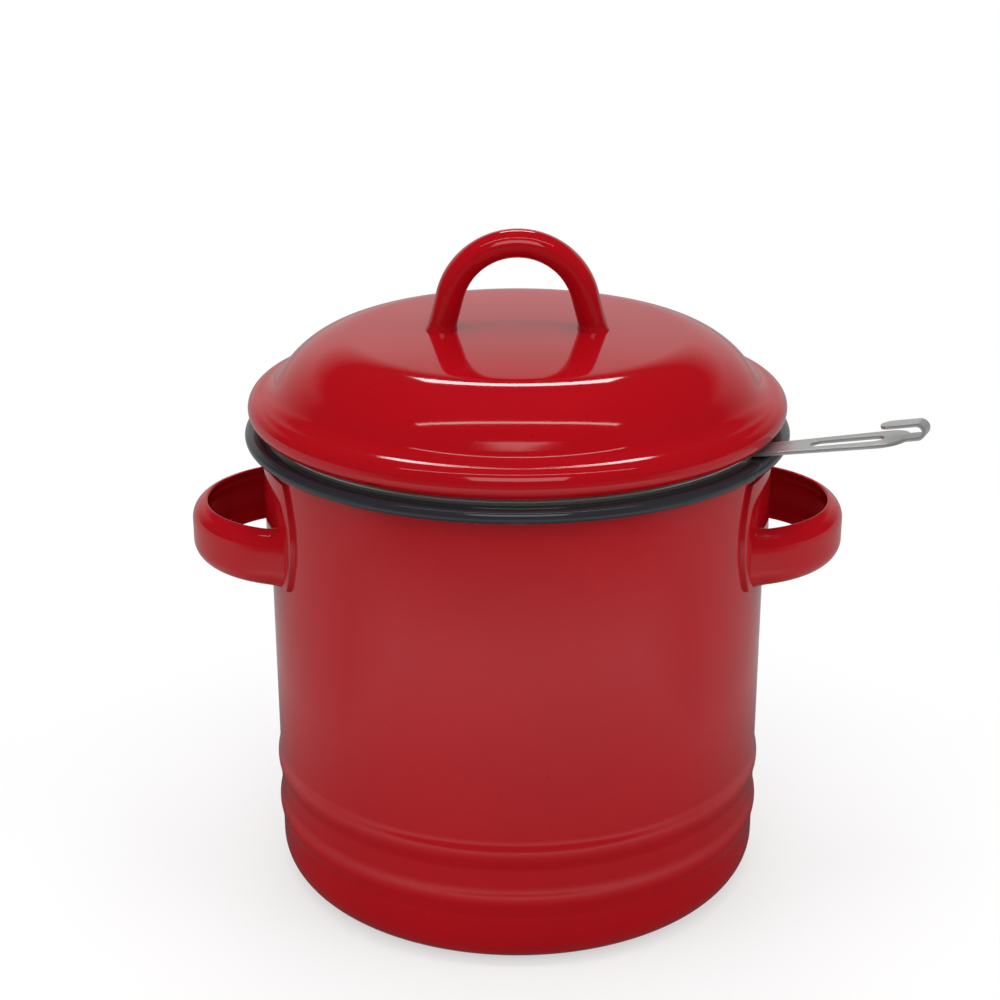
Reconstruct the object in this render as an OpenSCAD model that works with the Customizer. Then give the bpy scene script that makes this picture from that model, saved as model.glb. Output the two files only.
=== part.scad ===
// Enamelled grease keeper: a pot with a rolled lip and two loop handles, a pressed
// steel strainer that hangs in its mouth, and a domed lid that closes over both.
// The pot stands on z = 0 with its axis on z, and the loop handles lie along x.

/* [Sheet] */
// Thickness of the enamelled steel sheet
enamel_t = 0.9; // [0.7:0.05:1.2]
// Thickness of the strainer's steel sheet
steel_t = 0.5; // [0.4:0.05:0.7]

/* [Pot] */
// Height from the floor to the crest of the lip
pot_h = 124; // [110:1:150]
// Outer radius of the wall under the lip
pot_r = 64.7; // [60:0.1:72]
// How much the wall draws in from the lip to the base
pot_draft = 0.5; // [0:0.1:1.5]
// Outer radius of the bend between wall and base
pot_corner_r = 9; // [5:0.5:16]
// Height of the rolled lip
lip_h = 3.4; // [2.8:0.1:4]
// How far the lip stands out from the wall
lip_reach = 5.3; // [4.4:0.1:6.5]
// Radius of the bend from the wall into the lip
lip_bend_r = 0.9; // [0.5:0.1:1.2]
// Gap between the end of the roll and the wall
lip_gap = 0.4; // [0.3:0.1:0.8]

/* [Ridges] */
// Height of the lower ridge above the floor
ridge_low_z = 19; // [16:0.5:24]
// Distance between the two ridges
ridge_step = 13; // [11:0.5:18]
// Width of each ridge
ridge_w = 9; // [6:0.5:10]
// How far each ridge stands out
ridge_out = 0.7; // [0.3:0.1:1.2]

/* [Side handles] */
// Height of the handle's middle above the floor
loop_z = 95.5; // [80:0.5:98]
// Height of the handle's channel
loop_h = 15.5; // [13:0.5:20]
// Outer radius of the handle's bend, seen from above
loop_r = 30; // [26:0.5:34]
// How far the handle stands out from the wall
loop_reach = 20.3; // [16:0.1:26]
// Depth of the channel's two flanges
loop_depth = 3.5; // [3.4:0.1:6]
// Radius of the channel's outer edges
loop_edge_r = 3.2; // [2:0.1:3.3]
// Radius of the rounded plate that joins the handle to the wall
plate_r = 34; // [28:0.5:38]
// Height of the plate's lower end above the channel's underside
plate_raise = 0.5; // [0:0.5:4]
// Clear height between the plate and the lip
plate_gap = 4; // [2:0.5:10]
// Gap between a handle's back and the wall, which the weld fills
weld_gap = 0.05; // [0.03:0.01:0.1]

/* [Strainer] */
// Depth from the top of the flange to the underside of the base
cup_h = 19.5; // [17:0.5:26]
// Clearance between the cup's wall and the pot's wall
cup_clear = 2.2; // [1.6:0.1:2.6]
// Outer radius of the bend between the cup's wall and base
cup_corner_r = 4; // [2:0.5:6]
// Width of the crest of the lip that the flange's edge stands on
flange_seat = 0.7; // [0.6:0.1:1.2]
// Radius at the outer edge of the flange
flange_edge_r = 0.9; // [0.6:0.1:1]
// Width of the ledge round the screen
ledge_w = 7; // [5:0.5:10]
// Overlap of the screen on the ledge
screen_lap = 2.5; // [1.5:0.5:4]
// Thickness of the screen
screen_t = 0.4; // [0.3:0.05:0.6]
// Distance between the holes in the screen
screen_pitch = 6; // [5.8:0.1:9]
// Diameter of the holes in the screen
screen_hole_d = 3.6; // [1.5:0.1:4.4]

/* [Strainer handle] */
// Thickness of the strap
strap_t = 0.8; // [0.6:0.1:1]
// Direction of the strap, turned from the right-hand handle
strap_turn = -25; // [-40:1:40]
// Slope of the strap outside the lip
strap_rise = 13; // [0:1:15]
// Clearance between the strap and the crest of the lip
strap_clear = 0.3; // [0.3:0.05:0.6]
// Width of the strap where it leaves the flange
strap_root_w = 9; // [7:0.5:11]
// Width of the strap at its end
strap_tip_w = 12.5; // [10:0.5:15]
// Length of the strap outside the flange, to the middle of its round end
strap_len = 32; // [24:0.5:42]
// Length of the slot in the strap
slot_len = 18.5; // [10:0.5:21]
// Width of the slot in the strap
slot_w = 4.5; // [2.5:0.5:6]
// Height of the leg that lies on the cup's wall
leg_h = 12.5; // [9:0.5:13]
// Length of the slot in the leg
leg_slot_len = 6; // [4:0.5:7]
// Width of the slot in the leg
leg_slot_w = 3; // [2:0.5:4]
// Width of the hook's tongue
hook_w = 5; // [4:0.5:7]
// How far the tongue runs on before it bends
hook_reach = 2.5; // [1:0.5:5]
// Inner radius of the hook's bend
hook_r = 1.3; // [1:0.1:2.5]
// Length of the hook's return
hook_len = 9; // [6:0.5:12]

/* [Lid] */
// How far the bead round the lid stays inside the edge of the pot's lip
lid_inset = 1; // [0:0.1:3]
// Radius of the bead's round section
bead_r = 3.8; // [3:0.1:4.4]
// Angle up to which the bead's section runs
bead_end = 82; // [74:1:87]
// Slope of the dome's flank
flank_slope = 54; // [48:1:60]
// Radius of the hollow between bead and flank
valley_r = 6.5; // [4:0.5:9]
// Radius of the dome's shoulder
shoulder_r = 24; // [18:0.5:26]
// Slope at the edge of the dome's crown
crown_slope = 2.5; // [2:0.5:6]
// Length of the straight flank
flank_len = 2; // [1:0.1:3]

/* [Lid skirt] */
// Height of the skirt under the lid's seat
skirt_h = 13; // [9:0.5:14]
// Clearance between the skirt and the cup's wall
skirt_clear = 0.7; // [0.4:0.1:1.2]
// Thickness of the skirt
skirt_t = 0.8; // [0.6:0.1:1]
// Width of the flange that joins the skirt to the lid
skirt_flange_w = 2.6; // [2:0.1:3]
// Clearance round the skirt in the lid's seat
skirt_fit = 0.15; // [0.1:0.05:0.3]

/* [Lid handle] */
// Height of the arch's outer edge above the crown
arch_h = 25.5; // [21:0.5:30]
// Radius of the arch at the middle of its section
arch_r = 17.6; // [15:0.2:20]
// Thickness of the arch, seen from the front
arch_t = 7.2; // [5:0.2:8]
// Width of the arch, seen from the side
arch_w = 9; // [7:0.2:12]
// Splay of the arch's legs
arch_splay = 15; // [8:1:20]

/* [Hidden] */

// Steps of the round stretches, and a small overrun for cuts
turn_fn = 120;
hole_fn = 20;
arc_step = 7.5;
cut = 1;
whole = 360;

// Pot: the lip is a flattened roll whose outer side is a half circle
lip_r = pot_r + lip_reach;
lip_round = lip_h / 2;
crest_in_r = pot_r - enamel_t + lip_bend_r;
wall_top_z = pot_h - lip_h;
wall_base_r = pot_r - pot_draft;
ridge_zs = [ridge_low_z, ridge_low_z + ridge_step];
ridge_steps = 12;

// Side handle: the bend's centre, and the flat of its channel
loop_x = pot_r + loop_reach - loop_r;
loop_low_z = loop_z - loop_h / 2;
loop_top_z = loop_z + loop_h / 2;
plate_low_z = loop_low_z + plate_raise;
plate_top_z = wall_top_z - plate_gap;

// Strainer: heights from the pot's crest, radii from the pot's wall
cup_r = pot_r - enamel_t - cup_clear;
flange_r = crest_in_r + flange_seat;
flange_low_z = pot_h + strap_clear + strap_t;
seat_z = flange_low_z + steel_t;
cup_low_z = seat_z - cup_h;
ledge_in_r = cup_r - ledge_w;
screen_r = ledge_in_r + screen_lap;
screen_net_r = ledge_in_r - screen_hole_d / 2;
screen_rows = ceil(screen_net_r / (screen_pitch * sin(60)));
screen_cols = ceil(screen_net_r / screen_pitch) + 1;

// Strap: it leaves under the flange through a notch in the flange's edge
notch_clear = 0.3;
strap_bend_x = flange_r + notch_clear;
strap_low_z = pot_h + strap_clear;
strap_end = strap_len - notch_clear;
slot_end = strap_end - slot_w / 2;
hook_top = 2 * hook_r + strap_t;

// Lid: the outer profile's points, measured from the lid's seat
lid_r = lip_r - lid_inset;
bead_x = lid_r - bead_r;
valley_start = [bead_x + bead_r * cos(bead_end), bead_r + bead_r * sin(bead_end)];
valley_slope = 90 - bead_end;
valley_end = valley_start + valley_r * [sin(valley_slope) - sin(flank_slope), cos(valley_slope) - cos(flank_slope)];
shoulder_start = valley_end + flank_len * [-cos(flank_slope), sin(flank_slope)];
crown_start = shoulder_start
    + shoulder_r * [sin(crown_slope) - sin(flank_slope), cos(crown_slope) - cos(flank_slope)];
crown_r = crown_start.x / sin(crown_slope);
crown_z = crown_start.y + crown_r * (1 - cos(crown_slope));
skirt_r = cup_r - steel_t - skirt_clear;
lid_seat_r = skirt_r + skirt_fit;

// Arch: heights from the lid's seat
arch_z = crown_z + arch_h - arch_t / 2 - arch_r;
arch_turn = 90 - arch_splay;
leg_len = (arch_z + arch_r * sin(arch_splay) - crown_z) / cos(arch_splay) + arch_t / 2;
leg_lap = 0.02;

// Points of an arc from one angle to another
function arc(x, y, r, from, to) =
    let (n = max(2, ceil(abs(to - from) / arc_step)))
    [for (i = [0 : n]) [x + r * cos(from + (to - from) * i / n), y + r * sin(from + (to - from) * i / n)]];

// Points of an ellipse
function oval(a, b, n) = [for (i = [0 : n - 1]) [a * cos(whole * i / n), b * sin(whole * i / n)]];

// How far a ridge stands out at height z
function ridge_at(z, middle) =
    abs(z - middle) >= ridge_w / 2 ? 0 : ridge_out * (1 + cos(whole * (z - middle) / ridge_w)) / 2;

// Outer radius of the pot's wall at height z
function wall_r(z) =
    wall_base_r + pot_draft * z / pot_h + ridge_at(z, ridge_zs[0]) + ridge_at(z, ridge_zs[1]);

// Heights at which the wall has a point, from below upwards
function wall_zs() = [
    for (middle = ridge_zs) for (i = [0 : ridge_steps]) middle - ridge_w / 2 + ridge_w * i / ridge_steps
];

// Outer wall of the pot, drawn in by a depth, from the base's middle upwards
function pot_side(depth) = concat(
    [[0, depth]],
    arc(wall_r(pot_corner_r) - pot_corner_r, pot_corner_r, pot_corner_r - depth, -90, 0),
    [for (z = wall_zs()) if (z > pot_corner_r) [wall_r(z) - depth, z]]
);

// A list in the opposite order
function turned(points) = [for (i = [len(points) - 1 : -1 : 0]) points[i]];

// Pot's section: outer wall, roll of the lip from within, crest and inner wall
function pot_section() = concat(
    pot_side(0),
    [[pot_r, pot_h - 2 * enamel_t], [pot_r + enamel_t, pot_h - enamel_t]],
    arc(lip_r - lip_round, pot_h - lip_round, lip_round - enamel_t, 90, -90),
    [[pot_r + lip_gap, wall_top_z + enamel_t], [pot_r + lip_gap, wall_top_z]],
    arc(lip_r - lip_round, pot_h - lip_round, lip_round, -90, 90),
    arc(crest_in_r, pot_h - lip_bend_r, lip_bend_r, 90, 180),
    turned(pot_side(enamel_t))
);

// Lid's outer side, drawn in by a depth, from the seat's inner edge to the crown
function lid_side(depth) = concat(
    [[lid_seat_r, depth]],
    arc(bead_x, bead_r, bead_r - depth, -90, bead_end),
    arc(valley_start.x + valley_r * sin(valley_slope), valley_start.y + valley_r * cos(valley_slope),
        valley_r + depth, -90 - valley_slope, -90 - flank_slope),
    arc(shoulder_start.x - shoulder_r * sin(flank_slope), shoulder_start.y - shoulder_r * cos(flank_slope),
        shoulder_r - depth, 90 - flank_slope, 90 - crown_slope),
    [for (i = [7 : -1 : 0]) let (a = crown_slope * i / 8)
        [(crown_r - depth) * sin(a), crown_z - crown_r + (crown_r - depth) * cos(a)]]
);

// A whole turn of a section
module turn(points) {
    rotate_extrude($fn = turn_fn)
        polygon(points);
}

// The pot filled to its mouth and grown by the weld's gap, for what is cut to its wall
module pot_block() {
    turn(concat(pot_side(-weld_gap), [[pot_r + weld_gap, pot_h], [0, pot_h]]));
}

module pot_body() {
    color("firebrick")
        turn(pot_section());
}

// Channel of the side handle, open towards the wall
module loop_section() {
    edge_in = loop_r - loop_edge_r;
    polygon(concat(
        [[loop_r - loop_depth, loop_low_z]],
        arc(edge_in, loop_low_z + loop_edge_r, loop_edge_r, -90, 0),
        arc(edge_in, loop_top_z - loop_edge_r, loop_edge_r, 0, 90),
        [[loop_r - loop_depth, loop_top_z], [loop_r - loop_depth, loop_top_z - enamel_t]],
        arc(edge_in, loop_top_z - loop_edge_r, loop_edge_r - enamel_t, 90, 0),
        arc(edge_in, loop_low_z + loop_edge_r, loop_edge_r - enamel_t, 0, -90),
        [[loop_r - loop_depth, loop_low_z + enamel_t]]
    ));
}

// Plate behind the channel, with round sides and flat ends
module plate_outline() {
    plate_z = (plate_low_z + plate_top_z) / 2;
    intersection() {
        translate([plate_z, 0])
            circle(r = plate_r, $fn = turn_fn);
        translate([plate_low_z, -plate_r])
            square([plate_top_z - plate_low_z, 2 * plate_r]);
    }
}

module side_handle() {
    difference() {
        union() {
            translate([loop_x, 0, 0])
                rotate_extrude($fn = turn_fn)
                    loop_section();
            intersection() {
                rotate([0, -90, 0])
                    mirror([0, 0, 1])
                        linear_extrude(lip_r)
                            plate_outline();
                cylinder(r = pot_r + enamel_t, h = pot_h, $fn = turn_fn);
            }
        }
        pot_block();
    }
}

module right_side_handle() {
    color("firebrick")
        side_handle();
}

module left_side_handle() {
    color("firebrick")
        mirror([1, 0, 0])
            side_handle();
}

// Cup: flange with a turned-down edge, wall and ledge
module strainer_cup() {
    color("silver")
        difference() {
            turn(concat(
                [[ledge_in_r, cup_low_z]],
                arc(cup_r - cup_corner_r, cup_low_z + cup_corner_r, cup_corner_r, -90, 0),
                [[cup_r, flange_low_z], [flange_r - steel_t, flange_low_z]],
                [[flange_r - steel_t, pot_h], [flange_r, pot_h]],
                arc(flange_r - flange_edge_r, seat_z - flange_edge_r, flange_edge_r, 0, 90),
                arc(cup_r, seat_z - steel_t, steel_t, 90, 180),
                arc(cup_r - cup_corner_r, cup_low_z + cup_corner_r, cup_corner_r - steel_t, 0, -90),
                [[ledge_in_r, cup_low_z + steel_t]]
            ));
            rotate([0, 0, strap_turn])
                translate([flange_r - steel_t - notch_clear, -strap_root_w / 2 - notch_clear, pot_h - cut])
                    cube([steel_t + 2 * notch_clear, strap_root_w + 2 * notch_clear,
                        flange_low_z - pot_h + cut]);
        }
}

// Screen: a disc on the ledge, with a net of holes
module strainer_screen() {
    color("gainsboro")
        translate([0, 0, cup_low_z + steel_t])
            linear_extrude(screen_t)
                difference() {
                    circle(r = screen_r, $fn = turn_fn);
                    for (row = [-screen_rows : screen_rows])
                        for (col = [-screen_cols : screen_cols]) {
                            x = screen_pitch * (col + (row % 2 == 0 ? 0 : 0.5));
                            y = screen_pitch * sin(60) * row;
                            if (norm([x, y]) <= screen_net_r)
                                translate([x, y])
                                    circle(d = screen_hole_d, $fn = hole_fn);
                        }
                }
}

// A slot along x, with round ends, from one end's middle to the other's
module slot(len, w, deep) {
    for (x = [0, len])
        translate([x, 0, -deep / 2])
            cylinder(d = w, h = deep, $fn = 48);
    translate([0, -w / 2, -deep / 2])
        cube([len, w, deep]);
}

// Plate of the strap outside the flange, seen from above
module strap_outline() {
    tip = strap_tip_w / 2;
    polygon([[0, -strap_root_w / 2], [strap_end, -tip], [strap_end, tip], [0, strap_root_w / 2]]);
    translate([strap_end, 0])
        circle(r = tip, $fn = turn_fn);
}

// Hook: a tongue from the plate's end that turns up and back
module hook() {
    straight = strap_tip_w / 2 + hook_reach;
    translate([strap_end + straight, hook_w / 2, 0])
        rotate([90, 0, 0])
            linear_extrude(hook_w)
                polygon(concat(
                    [[-straight, 0]],
                    arc(0, hook_r + strap_t, hook_r + strap_t, -90, 90),
                    [[-hook_len, hook_top + strap_t], [-hook_len, hook_top]],
                    arc(0, hook_r + strap_t, hook_r, 90, -90),
                    [[-straight, strap_t]]
                ));
}

module strainer_handle() {
    color("darkgray")
        rotate([0, 0, strap_turn]) {
            difference() {
                intersection() {
                    translate([0, -strap_root_w / 2, flange_low_z - leg_h])
                        cube([cup_r + strap_t, strap_root_w, leg_h]);
                    difference() {
                        cylinder(r = cup_r + strap_t, h = pot_h + cup_h, $fn = turn_fn);
                        translate([0, 0, -cut])
                            cylinder(r = cup_r, h = pot_h + cup_h + 2 * cut, $fn = turn_fn);
                    }
                }
                translate([cup_r, 0, flange_low_z - leg_h / 2 + (leg_slot_len - leg_slot_w) / 2])
                    rotate([0, 90, 0])
                        slot(leg_slot_len - leg_slot_w, leg_slot_w, 4 * strap_t);
            }
            difference() {
                translate([cup_r - strap_t, -strap_root_w / 2, strap_low_z])
                    cube([strap_bend_x - cup_r + strap_t, strap_root_w, strap_t]);
                translate([0, 0, strap_low_z - cut])
                    cylinder(r = cup_r, h = strap_t + 2 * cut, $fn = turn_fn);
            }
            translate([strap_bend_x, 0, strap_low_z])
                rotate([0, -strap_rise, 0]) {
                    difference() {
                        linear_extrude(strap_t)
                            strap_outline();
                        translate([slot_end - slot_len + slot_w, 0, 0])
                            slot(slot_len - slot_w, slot_w, 4 * strap_t);
                    }
                    hook();
                }
        }
}

module lid_shell() {
    color("firebrick")
        translate([0, 0, seat_z])
            turn(concat(lid_side(0), turned(lid_side(enamel_t))));
}

// Skirt: a ring whose turned-out flange lies inside the lid's seat
module lid_skirt() {
    color("firebrick")
        translate([0, 0, seat_z])
            turn([
                [skirt_r - skirt_t, -skirt_h], [skirt_r, -skirt_h],
                [skirt_r, enamel_t], [skirt_r + skirt_flange_w, enamel_t],
                [skirt_r + skirt_flange_w, enamel_t + skirt_t], [skirt_r - skirt_t, enamel_t + skirt_t]
            ]);
}

// Arch with splayed legs that are cut to the crown
module lid_handle() {
    color("firebrick")
        translate([0, 0, seat_z])
            difference() {
                translate([0, 0, arch_z])
                    rotate([90, 0, 0]) {
                        rotate([0, 0, arch_splay])
                            rotate_extrude(angle = 2 * arch_turn, $fn = turn_fn)
                                translate([arch_r, 0])
                                    polygon(oval(arch_t / 2, arch_w / 2, 32));
                        for (side = [0, 1])
                            mirror([side, 0, 0])
                                rotate([0, 0, arch_splay])
                                    translate([arch_r, leg_lap, 0])
                                        rotate([90, 0, 0])
                                            linear_extrude(leg_len + leg_lap)
                                                polygon(oval(arch_t / 2, arch_w / 2, 32));
                    }
                turn(concat(lid_side(0), [[0, 0]]));
            }
}

pot_body();
left_side_handle();
right_side_handle();
strainer_cup();
strainer_screen();
strainer_handle();
lid_shell();
lid_skirt();
lid_handle();
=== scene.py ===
"""Enamelled grease keeper, dressed for pictures: pot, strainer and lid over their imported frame.

Sizes in the classes are in millimetres, in the frame of the model: the pot stands on z = 0
with its axis on z, and its loop handles lie along x.
"""
import logging
import math
from collections.abc import Callable, Iterable
from dataclasses import dataclass
from enum import Enum
from typing import ClassVar

import bmesh
import bpy
from bmesh.types import BMEdge, BMesh, BMFace, BMVert
from mathutils import Matrix, Vector


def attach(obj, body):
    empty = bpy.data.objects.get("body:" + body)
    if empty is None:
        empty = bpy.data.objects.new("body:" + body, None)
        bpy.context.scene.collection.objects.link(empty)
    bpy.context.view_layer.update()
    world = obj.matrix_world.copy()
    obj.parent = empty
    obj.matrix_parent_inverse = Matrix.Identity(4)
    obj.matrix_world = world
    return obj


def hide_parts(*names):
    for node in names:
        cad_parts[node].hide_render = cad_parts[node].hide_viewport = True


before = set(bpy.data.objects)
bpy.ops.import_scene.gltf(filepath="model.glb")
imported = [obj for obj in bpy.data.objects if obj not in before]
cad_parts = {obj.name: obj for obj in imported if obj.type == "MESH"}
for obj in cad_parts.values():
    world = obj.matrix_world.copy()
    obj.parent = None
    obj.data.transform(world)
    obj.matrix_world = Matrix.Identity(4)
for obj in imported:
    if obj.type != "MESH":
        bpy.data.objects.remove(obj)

MM = 0.001  # One millimetre in metres.
MERGE = 2e-6  # Points that lie closer than this, in metres, become one.
ROUND = 256  # Steps of a full turn.
RIM_ANGLE = 0.9  # Angle in radians from which an edge counts as a rim.
ORIGIN = (0.0, 0.0, 0.0)
UP = (0.0, 0.0, 1.0)
LOG = logging.getLogger("grease_keeper")
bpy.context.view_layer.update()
Colour = tuple[float, float, float]
Place = tuple[float, float, float]
Material = bpy.types.Material
Socket = bpy.types.NodeSocket


class Body(Enum):
    """Moving bodies of the frame."""

    POT = "pot"
    STRAINER = "strainer"
    LID = "lid"


class Slot(Enum):
    """Material slots of the record."""

    POT = "pot_enamel"
    LOOPS = "handle_enamel"
    LID = "lid_enamel"
    STEEL = "strainer_steel"


# ---------------- shaping


def everything(mesh: BMesh) -> list[BMVert | BMEdge | BMFace]:
    """Lists the points, edges and faces of a mesh."""
    return mesh.verts[:] + mesh.edges[:] + mesh.faces[:]


def pick(kind: type, geometry: Iterable) -> list:
    """Picks the points, edges or faces out of mixed geometry."""
    return [item for item in geometry if isinstance(item, kind)]


def shift(
    mesh: BMesh, x: float = 0.0, y: float = 0.0, z: float = 0.0,
    verts: list[BMVert] | None = None,
) -> None:
    """Moves a mesh, or some of its points, by distances in millimetres."""
    bmesh.ops.translate(
        mesh, verts=mesh.verts[:] if verts is None else verts, vec=(x * MM, y * MM, z * MM))


def rotate(
    mesh: BMesh, degrees: float, axis: str, centre: float = 0.0,
    verts: list[BMVert] | None = None,
) -> None:
    """Turns a mesh, or some of its points, about a centre on the X axis."""
    bmesh.ops.rotate(
        mesh, verts=mesh.verts[:] if verts is None else verts, cent=(centre * MM, 0.0, 0.0),
        matrix=Matrix.Rotation(math.radians(degrees), 3, axis))


def sweep(
    mesh: BMesh, axis: Place, angle: float, steps: int, height: float = 0.0, full: bool = False,
) -> list:
    """Spins an outline about a centre at a height in millimetres and gives its last copy."""
    return bmesh.ops.spin(
        mesh, geom=everything(mesh), cent=(0.0, 0.0, height * MM), axis=axis, angle=angle,
        steps=steps, use_merge=full, use_duplicate=False)["geom_last"]


def merge(mesh: BMesh, distance: float = MERGE) -> None:
    """Merges points that lie on each other."""
    bmesh.ops.remove_doubles(mesh, verts=mesh.verts[:], dist=distance)


def join(mesh: BMesh, other: BMesh) -> None:
    """Adds one mesh to another.

    Args:
        mesh: The mesh that grows.
        other: The mesh that goes into it, which is freed.
    """
    data = bpy.data.meshes.new("joined")
    other.to_mesh(data)
    other.free()
    mesh.from_mesh(data)
    bpy.data.meshes.remove(data)


def thicken(mesh: BMesh, sheet: float) -> None:
    """Gives flat faces a thickness upwards, in millimetres."""
    raised = bmesh.ops.extrude_face_region(mesh, geom=mesh.faces[:], use_keep_orig=True)
    shift(mesh, z=sheet, verts=pick(BMVert, raised["geom"]))


def paint(mesh: BMesh, is_red: Callable[[BMFace], bool]) -> None:
    """Gives the faces that is_red picks the first finish, and the others the second."""
    for face in mesh.faces:
        face.material_index = 0 if is_red(face) else 1


class Outline:
    """Pen that draws an outline in the X-Z plane by extruding and spinning its tip."""

    def __init__(self, x: float, z: float) -> None:
        """Puts the pen down.

        Args:
            x: Distance from the axis.
            z: Height.
        """
        self.mesh: BMesh = bmesh.new()
        self.tip: BMVert = bmesh.ops.create_vert(self.mesh, co=(x * MM, 0.0, z * MM))["vert"][0]
        self.first = self.tip

    def step(self, dx: float, dz: float, steps: int = 1) -> "Outline":
        """Draws a straight line by a distance.

        Args:
            dx: Distance along X.
            dz: Distance along Z.
            steps: Number of edges.

        Returns:
            The pen itself.
        """
        for _ in range(steps):
            made = bmesh.ops.extrude_vert_indiv(self.mesh, verts=[self.tip])
            self.tip = made["verts"][0]
            bmesh.ops.translate(
                self.mesh, verts=[self.tip], vec=Vector((dx, 0.0, dz)) * (MM / steps))
        return self

    def line(self, x: float, z: float, steps: int = 1) -> "Outline":
        """Draws a straight line to a point, as a number of edges."""
        return self.step(x - self.tip.co.x / MM, z - self.tip.co.z / MM, steps)

    def arc(self, x: float, z: float, turn: float, steps: int) -> "Outline":
        """Draws an arc round a centre.

        Args:
            x: Distance of the centre from the axis.
            z: Height of the centre.
            turn: Angle in degrees, anticlockwise seen with X to the right and Z up.
            steps: Number of edges.

        Returns:
            The pen itself.
        """
        made = bmesh.ops.spin(
            self.mesh, geom=[self.tip], cent=(x * MM, 0.0, z * MM), axis=(0.0, -1.0, 0.0),
            angle=math.radians(turn), steps=steps, use_duplicate=False)
        self.tip = pick(BMVert, made["geom_last"])[0]
        return self

    def close(self) -> "Outline":
        """Joins the tip to the start."""
        self.mesh.edges.new((self.tip, self.first))
        return self

    def revolve(self, steps: int = ROUND) -> BMesh:
        """Turns the outline once round the Z axis and gives the closed, cleaned shell."""
        sweep(self.mesh, UP, math.tau, steps, full=True)
        return tidy(self.mesh)


def tidy(mesh: BMesh) -> BMesh:
    """Merges doubles and then points the faces outwards.

    Args:
        mesh: The mesh to clean.

    Returns:
        The same mesh.
    """
    merge(mesh)
    bmesh.ops.dissolve_degenerate(mesh, edges=mesh.edges[:], dist=1e-7)
    bmesh.ops.recalc_face_normals(mesh, faces=mesh.faces[:])
    return mesh


def cap_holes(mesh: BMesh) -> None:
    """Closes each open loop of the mesh with a face."""
    rim = [edge for edge in mesh.edges if edge.is_boundary]
    bmesh.ops.holes_fill(mesh, edges=rim, sides=0)


def slice_along(mesh: BMesh, axis: int, cuts: Iterable[float]) -> None:
    """Cuts the faces along parallel planes, so that they can bend.

    Args:
        mesh: The mesh to cut.
        axis: 0, 1 or 2 for planes across X, Y or Z.
        cuts: Places of the planes in millimetres.
    """
    normal = Vector(ORIGIN)
    normal[axis] = 1.0
    for place in cuts:
        bmesh.ops.bisect_plane(
            mesh, geom=everything(mesh), dist=1e-7, plane_co=normal * (place * MM),
            plane_no=normal)


def round_edges(mesh: BMesh, edges: list[BMEdge], offset: float, segments: int) -> None:
    """Rounds edges with a bevel of a width in millimetres."""
    bmesh.ops.bevel(
        mesh, geom=edges, offset=offset * MM, offset_type="OFFSET", segments=segments,
        profile=0.5, affect="EDGES", material=-1, clamp_overlap=True)


def flare(
    mesh: BMesh, depth: Callable[[Vector], float], rise: Callable[[Vector], Vector],
    reach: float, swell: float,
) -> None:
    """Swells a welded end into a soft fillet towards what it stands on.

    Args:
        mesh: The mesh of the welded piece.
        depth: Distance in millimetres of a place from the surface that carries it.
        rise: Direction away from that surface at a place.
        reach: Distance from that surface at which the fillet starts.
        swell: Width of the fillet at the surface.
    """
    mesh.normal_update()
    moves = []
    for vert in mesh.verts:
        near = 1.0 - max(depth(vert.co), 0.0) / reach
        if near > 0.0:
            up = rise(vert.co)
            side = vert.normal - up * vert.normal.dot(up)
            if side.length > 0.2:
                moves.append((vert, side.normalized() * (swell * near * near * MM)))
    for vert, move in moves:
        vert.co += move


def add_piece(
    name: str, mesh: BMesh, finishes: tuple[Material, ...], body: Body, slot: Slot,
    node: str, crease: float = 38.0,
) -> None:
    """Turns a finished mesh into a piece of the model.

    Args:
        name: Plain name of the piece.
        mesh: Its mesh, which is freed.
        finishes: Materials, in the order of the mesh's material indices.
        body: Body that it rides on.
        slot: Material slot of the record; not used.
        node: Node of the frame that it stands for.
        crease: Angle in degrees above which an edge stays sharp.
    """
    data = bpy.data.meshes.new(name)
    mesh.to_mesh(data)
    mesh.free()
    for finish in finishes:
        data.materials.append(finish)
    data.polygons.foreach_set("use_smooth", [True] * len(data.polygons))
    data.set_sharp_from_angle(angle=math.radians(crease))
    piece = bpy.data.objects.new(name, data)
    bpy.context.scene.collection.objects.link(piece)
    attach(piece, body.value)
    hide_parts(node)
    LOG.info("%s: %d faces", name, len(data.polygons))


# ---------------- finishes


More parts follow.
